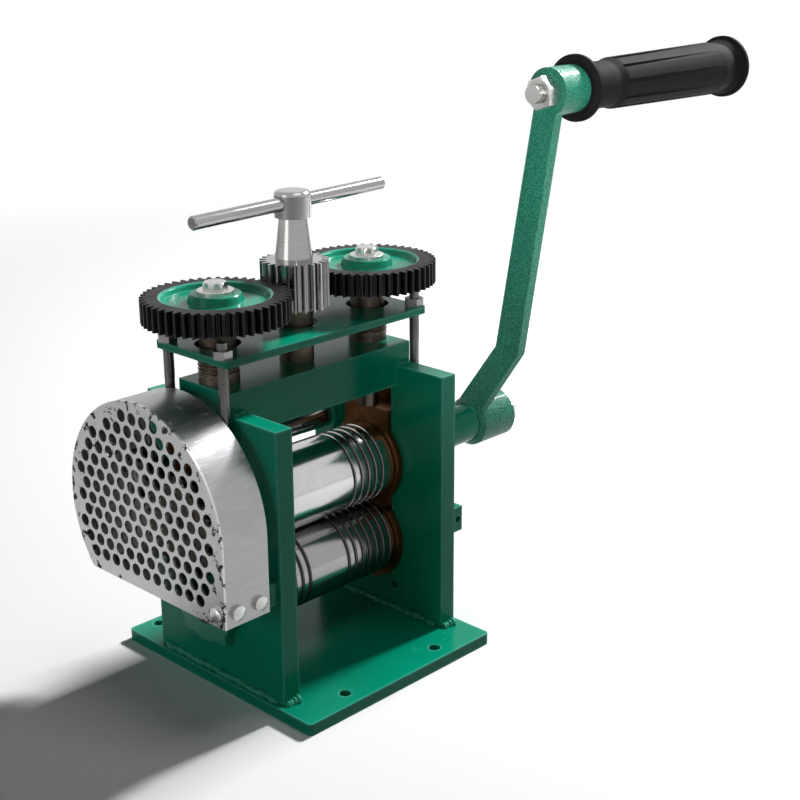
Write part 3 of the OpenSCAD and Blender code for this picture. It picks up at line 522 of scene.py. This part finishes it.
def weldBead(name, start, end, body, size=1.0):
    # tube along a seam: its radius swells once a pitch and more slowly by two waves that never
    # fall together, and its middle wanders by two slow waves
    start, end = np.array(start, float), np.array(end, float)
    length = np.linalg.norm(end - start)
    count = max(int(length / weld["pitch"] * weld["rowsPerPitch"]), weld["leastRows"])
    along = np.linspace(0, 1, count)[:, None]
    angle = np.linspace(0, 2 * np.pi, weld["columns"], endpoint=False)[None, :]
    phase = along * length / weld["pitch"]
    beat = np.abs(np.sin(np.pi * phase + weld["lag"] * np.cos(angle)))
    swell = 1 + weld["ripple"] * (beat - 0.5)
    fromEnd = np.minimum(along, 1 - along) * length
    taper = np.minimum(1, fromEnd / (weld["taper"] * weld["radius"]) + weld["tip"])
    quick, lazy = weld["unevenWaves"]
    slow = 1 + weld["uneven"] * (np.sin(phase * quick + start[1] * weld["unevenSeed"])
                                 + np.sin(phase * lazy + angle))
    radius = size * weld["radius"] * swell * slow * taper
    first, second = across(end - start)
    broad, narrow = weld["wanderWaves"]
    drift = weld["wander"] * (np.sin(phase * broad + start[0] * weld["wanderSeed"])
                              + weld["wanderShare"] * np.sin(phase * narrow))
    middle = start + (end - start) * along[..., None] + (drift[..., None] * (first + second) / 2)
    points = middle + radius[..., None] * (np.cos(angle)[..., None] * first
                                           + np.sin(angle)[..., None] * second)
    return gridPiece(name, points, "green_gloss", body)


seams = {"rise": 0.3 * mm, "footEnds": 3 * mm, "frontSize": 1.3, "beamOut": 0.1 * mm,
         "beamFoot": 1 * mm, "beamHead": 0.5 * mm, "topEnds": 0.5 * mm}


def makeWelds():
    # beads round the feet of both side plates and at the ends of the beam
    foot = corners("base_plate")[1][2] + seams["rise"]
    beamLow, beamHigh = corners("top_beam")
    beamSides = (("front", beamLow[1]), ("back", beamHigh[1]))
    for side, node in ((-1, "left_side_plate"), (1, "right_side_plate")):
        low, high = corners(node)
        inner, outer = (high[0], low[0]) if side < 0 else (low[0], high[0])
        front, back = low[1] + seams["footEnds"], high[1] - seams["footEnds"]
        for label, x in (("_inner_weld", inner - side * seams["rise"]),
                         ("_outer_weld", outer + side * seams["rise"])):
            weldBead(node + label, (x, front, foot), (x, back, foot), "frame")
        ahead = low[1] - seams["rise"]
        weldBead(node + "_front_weld", (low[0], ahead, foot), (high[0], ahead, foot), "frame",
                 seams["frontSize"])
        x = outer + side * seams["beamOut"]
        for label, y in beamSides:
            weldBead(node + "_beam_weld_" + label, (x, y, beamLow[2] + seams["beamFoot"]),
                     (x, y, high[2] - seams["beamHead"]), "frame")
        for label, y in beamSides:
            weldBead(node + "_top_weld_" + label, (low[0] + seams["topEnds"], y, high[2]),
                     (high[0] - seams["topEnds"], y, high[2]), "frame")


screwForm = {"rowsPerPitch": 10, "leastRows": 12, "columns": 40, "slope": 1.6, "flat": 0.3,
             "runOut": 0.4}  # shape that all threads share


def thread(name, look, start, direction, length, body, finish):
    # screw surface: its radius is a rounded triangle wave of the way along the axis less the turn
    start, direction = np.array(start), np.array(direction, float)
    rows = max(int(length / look["pitch"] * screwForm["rowsPerPitch"]), screwForm["leastRows"])
    along = np.linspace(0, length, rows)[:, None]
    angle = np.linspace(0, 2 * np.pi, screwForm["columns"], endpoint=False)[None, :]
    wave = (along / look["pitch"] - angle / (2 * np.pi)) % 1
    crest = np.clip(screwForm["slope"] * (1 - np.abs(2 * wave - 1)) - screwForm["flat"], 0, 1)
    fromEnd = np.minimum(along, length - along)
    ends = np.clip(fromEnd / (screwForm["runOut"] * look["pitch"]), 0, 1)
    radius = look["core"] + (look["crest"] - look["core"]) * crest * ends
    first, second = across(direction)
    points = (start + along[..., None] * direction
              + radius[..., None] * (np.cos(angle)[..., None] * first
                                     + np.sin(angle)[..., None] * second))
    return gridPiece(name, points, finish, body)


threads = {
    "screw": {"length": 8 * mm, "pitch": 1.6 * mm, "core": 7.6 * mm, "crest": 8.2 * mm,
              "above": 1.2 * mm},
    "studTip": {"pitch": 0.7 * mm, "core": 1.8 * mm, "crest": 2.08 * mm},
    "stud": {"length": 12 * mm, "pitch": 0.7 * mm, "core": 1.9 * mm, "crest": 2.15 * mm,
             "inset": 2 * mm},
    "crank": {"pitch": 1.0 * mm, "core": 3.8 * mm, "crest": 4.12 * mm, "gripGap": 0.3 * mm},
    "sunk": 0.2 * mm}  # how far a thread starts inside its nut


def makeThreads():
    # threads of the adjusting screws, the studs, the crank's shaft and the grip's bolt
    up, outward = (0, 0, 1), (1, 0, 0)
    screw, stud, crank, sunk = (threads[key] for key in ("screw", "stud", "crank", "sunk"))
    beamTop = corners("top_beam")[1][2]
    for side in ("left", "right"):
        low, high = corners(side + "_screw")
        middle = (low + high) / 2
        thread(side + "_screw_thread", screw, (middle[0], middle[1], beamTop + screw["above"]),
               up, screw["length"], side + "_screw_set", "dark_steel")
    studLow, studHigh = corners("lifting_studs")
    nutTop = corners("stud_nuts")[1][2]
    plateLow = corners("lifting_plate")[0][2]
    for i, x in enumerate((studLow[0] + stud["inset"], studHigh[0] - stud["inset"])):
        for j, y in enumerate((studLow[1] + stud["inset"], studHigh[1] - stud["inset"])):
            label = "_%d_%d" % (i, j)
            thread("stud_tip" + label, threads["studTip"], (x, y, nutTop - sunk), up,
                   studHigh[2] - nutTop, "lift", "zinc")
            thread("stud_thread" + label, stud, (x, y, plateLow - stud["length"]), up,
                   stud["length"], "lift", "stud_steel")
    shaftEnd = corners("upper_roller")[1][0]
    nutEnd = corners("crank_nut")[1][0]
    axisZ = sum(corners("crank_nut"))[2] / 2
    thread("crank_thread", crank, (nutEnd - sunk, 0, axisZ), outward, shaftEnd - nutEnd,
           "upper_roller_set", "zinc")
    boltEnd = corners("grip_bolt")[0][0]
    gripNutEnd = corners("grip_nut")[0][0]
    gripAxis = sum(corners("grip_nut")) / 2
    thread("grip_thread", crank, (boltEnd + crank["gripGap"], gripAxis[1], gripAxis[2]), outward,
           gripNutEnd - boltEnd, "upper_roller_set", "zinc")


for side in ("left", "right"):
    wheelBoltHead(side + "_bolt_head", side + "_wheel_bolt", side + "_screw_set")
print("bolt heads made")
makeCoverBack()
makeWelds()
print("cover back and welds made")
makeThreads()
print("threads made")

# the floor's tone fades to white between two distances, further out in a reflection
studio = {"worldLight": 0.03, "worldSeen": 1.0, "floorTone": 0.93, "floorBounce": 0.16,
          "fadeFrom": 0.45, "fadeTo": 1.0, "mirrorFrom": 0.9, "mirrorTo": 2.4, "floorHalf": 6.0}


def seenBy(nodes):
    # 1 for a camera ray, and 1 for a ray that comes off metal or through glass
    ray, gloss, through = (nodes.make("ShaderNodeLightPath", output="Is " + kind + " Ray")
                           for kind in ("Camera", "Glossy", "Transmission"))
    return ray, gloss + through


def makeFloor():
    # pale floor that keeps the shadow and fades to the background's white far out
    half = studio["floorHalf"]
    mesh = bpy.data.meshes.new("floor")
    mesh.from_pydata([(-half, -half, 0), (half, -half, 0), (half, half, 0), (-half, half, 0)], [],
                     [(0, 1, 2, 3)])
    floor = bpy.data.objects.new("floor", mesh)
    bpy.context.scene.collection.objects.link(floor)
    material = bpy.data.materials.new("paleFloor")
    material.use_nodes = True
    tree = material.node_tree
    tree.nodes.clear()
    nodes = Sock(tree)
    spot = nodes.make("ShaderNodeTexCoord", output="Object")
    reach = nodes.make("ShaderNodeVectorMath", {"operation": "LENGTH"}, {0: spot}, "Value")
    fade = ramp(nodes, reach, studio["fadeFrom"], studio["fadeTo"])
    mirrored = ramp(nodes, reach, studio["mirrorFrom"], studio["mirrorTo"])
    ray, reflected = seenBy(nodes)
    # white to look at, but little light comes back from it
    tone = mixed(nodes, ray + reflected, (studio["floorBounce"],) * 3, (studio["floorTone"],) * 3)
    plain = nodes.make("ShaderNodeBsdfDiffuse", {}, {"Color": tone})
    white = nodes.make("ShaderNodeEmission", {}, {"Color": (1, 1, 1, 1), "Strength": 1})
    surface = nodes.make("ShaderNodeMixShader", {}, {
        0: fade * ray + mirrored * reflected, 1: plain, 2: white})
    tree.links.new(surface.link, tree.nodes.new("ShaderNodeOutputMaterial").inputs["Surface"])
    mesh.materials.append(material)


def makeWorld():
    # soft grey light on the object, plain white where the camera and reflections look past it
    world = bpy.data.worlds.new("studio")
    bpy.context.scene.world = world
    world.use_nodes = True
    tree = world.node_tree
    tree.nodes.clear()
    nodes = Sock(tree)
    ray, reflected = seenBy(nodes)
    light, seen = (nodes.make("ShaderNodeBackground", {}, {
        "Color": (1, 1, 1, 1), "Strength": studio[key]}) for key in ("worldLight", "worldSeen"))
    surface = nodes.make("ShaderNodeMixShader", {}, {0: ray + reflected, 1: light, 2: seen})
    tree.links.new(surface.link, tree.nodes.new("ShaderNodeOutputWorld").inputs["Surface"])


lamps = {  # powers in watts and spreads in degrees; the side lamp lights the crank alone
    "key": {"place": (1.04, -0.05, 0.95), "aim": (0, 0, 0.06), "size": 0.2, "power": 28,
            "spread": 180},
    "fill": {"place": (-1.3, 0.05, 0.32), "aim": (0, 0, 0.1), "size": 0.6, "power": 2.2,
             "spread": 180},
    "top": {"place": (0.2, -0.35, 1.35), "aim": (0, 0, 0.1), "size": 0.5, "power": 1.5,
            "spread": 180},
    "side": {"place": (-0.35, -0.75, 0.35), "aim": (0.175, -0.02, 0.18), "size": 0.12,
             "power": 0.1, "spread": 16}}


def makeLamp(name, look):
    # square soft lamp that looks at its aim
    data = bpy.data.lights.new(name, "AREA")
    data.size, data.energy = look["size"], look["power"]
    data.spread = math.radians(look["spread"])
    lamp = bpy.data.objects.new(name, data)
    bpy.context.scene.collection.objects.link(lamp)
    place, aim = Vector(look["place"]), Vector(look["aim"])
    turn = (aim - place).to_track_quat("-Z", "Y").to_matrix().to_4x4()
    lamp.matrix_world = Matrix.Translation(place) @ turn


camera = {"place": (-380.86 * mm, -426.92 * mm, 302.46 * mm), "yaw": 45.904, "pitch": 18.749,
          "roll": -0.302, "lens": 66.42, "sensor": 36, "nearest": 0.01}


def makeCamera():
    # camera turned from +Y towards +X by yaw and down by pitch
    data = bpy.data.cameras.new("camera")
    data.lens, data.sensor_width = camera["lens"], camera["sensor"]
    data.clip_start = camera["nearest"]
    eye = bpy.data.objects.new("camera", data)
    bpy.context.scene.collection.objects.link(eye)
    yaw, pitch, roll = (math.radians(camera[key]) for key in ("yaw", "pitch", "roll"))
    ahead = Vector((math.sin(yaw) * math.cos(pitch), math.cos(yaw) * math.cos(pitch),
                    -math.sin(pitch)))
    right = Vector((math.cos(yaw), -math.sin(yaw), 0))
    up = right.cross(ahead)
    tilted = math.cos(roll) * right + math.sin(roll) * up
    upright = math.cos(roll) * up - math.sin(roll) * right
    turn = Matrix((tilted, upright, -ahead)).transposed().to_4x4()
    eye.matrix_world = Matrix.Translation(camera["place"]) @ turn
    bpy.context.scene.camera = eye


makeFloor()
makeWorld()
for lampName, lampLook in lamps.items():
    makeLamp(lampName, lampLook)
makeCamera()
bpy.context.scene.view_settings.view_transform = "Standard"
print("studio ready")
